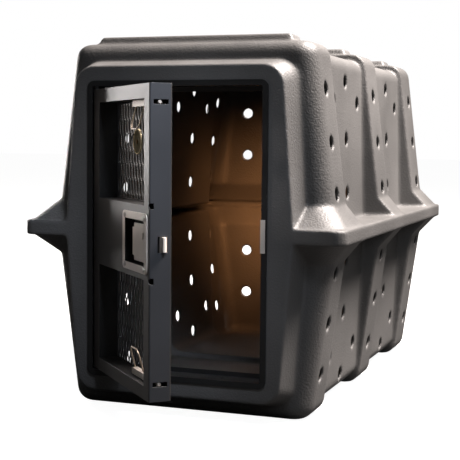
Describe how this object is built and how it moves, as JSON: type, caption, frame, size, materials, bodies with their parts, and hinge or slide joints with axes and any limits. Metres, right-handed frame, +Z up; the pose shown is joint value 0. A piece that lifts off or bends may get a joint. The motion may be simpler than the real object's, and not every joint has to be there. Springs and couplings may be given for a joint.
{
  "type": "pet transport carrier",
  "caption": "Hard-sided pet carrier with a ribbed moulded shell, a belt flange, vent holes and a swinging metal door with a paddle latch and slide bolts.",
  "frame": {"origin": "middle of the footprint, on the floor", "axes": "+Z up, the door faces -Y, +X to the right of someone facing the door"},
  "size_m": [0.6494, 1.2263, 0.725],
  "materials": {
    "shell_plastic": "matte",
    "black_metal": "satin",
    "door_metal": "satin",
    "stainless": "satin",
    "brass": "satin",
    "bush_plastic": "matte"
  },
  "bodies": {
    "carrier": {"shell": "shell_plastic", "door_frame": "black_metal", "frame_retainer": "black_metal", "frame_screws": "black_metal", "hinge_pin_lower": "stainless", "hinge_pin_upper": "stainless", "strike_plate": "stainless", "strike_screws": "stainless"},
    "door": {"door_shell": "door_metal", "door_back_skin": "door_metal", "lower_mesh": "black_metal", "upper_mesh": "black_metal", "hinge_bush_lower": "bush_plastic", "hinge_bush_upper": "bush_plastic", "latch_pan": "stainless", "latch_screws": "stainless", "paddle_pin": "stainless", "paddle_spring": "stainless", "bolt_guide": "stainless", "lower_slide_guide": "stainless", "upper_slide_guide": "stainless", "badge": "brass", "badge_rivet": "brass"},
    "paddle": {"paddle": "stainless"},
    "latch_bolt": {"latch_bolt": "stainless"},
    "upper_slide": {"upper_slide_bolt": "stainless", "upper_pull_loop": "stainless"},
    "lower_slide": {"lower_slide_bolt": "stainless", "lower_pull_loop": "stainless"}
  },
  "joints": [
    {"name": "door_hinge", "type": "hinge", "parent": "carrier", "child": "door", "pos_m": [-0.163, -0.4885, 0.3535], "axis": [0, 0, -1], "range_deg": [-47.3, 42.5]},
    {"name": "paddle_hinge", "type": "hinge", "parent": "door", "child": "paddle", "pos_m": [0.03861, -0.71067, 0.352], "axis": [0, 0, 1], "range_deg": [0, 20], "stiffness_Nm_per_rad": 0.5, "springref_deg": -17.19},
    {"name": "latch_bolt_slide", "type": "slide", "parent": "door", "child": "latch_bolt", "axis": [-0.6782, 0.7349, 0], "range_m": [0, 0.008]},
    {"name": "upper_slide_travel", "type": "slide", "parent": "door", "child": "upper_slide", "axis": [0.6782, -0.7349, 0], "range_m": [0, 0.014]},
    {"name": "lower_slide_travel", "type": "slide", "parent": "door", "child": "lower_slide", "axis": [0.6782, -0.7349, 0], "range_m": [0, 0.014]}
  ],
  "couplings": [
    {"joint": "latch_bolt_slide", "follows": "paddle_hinge", "m_per_rad": 0.02291}
  ]
}
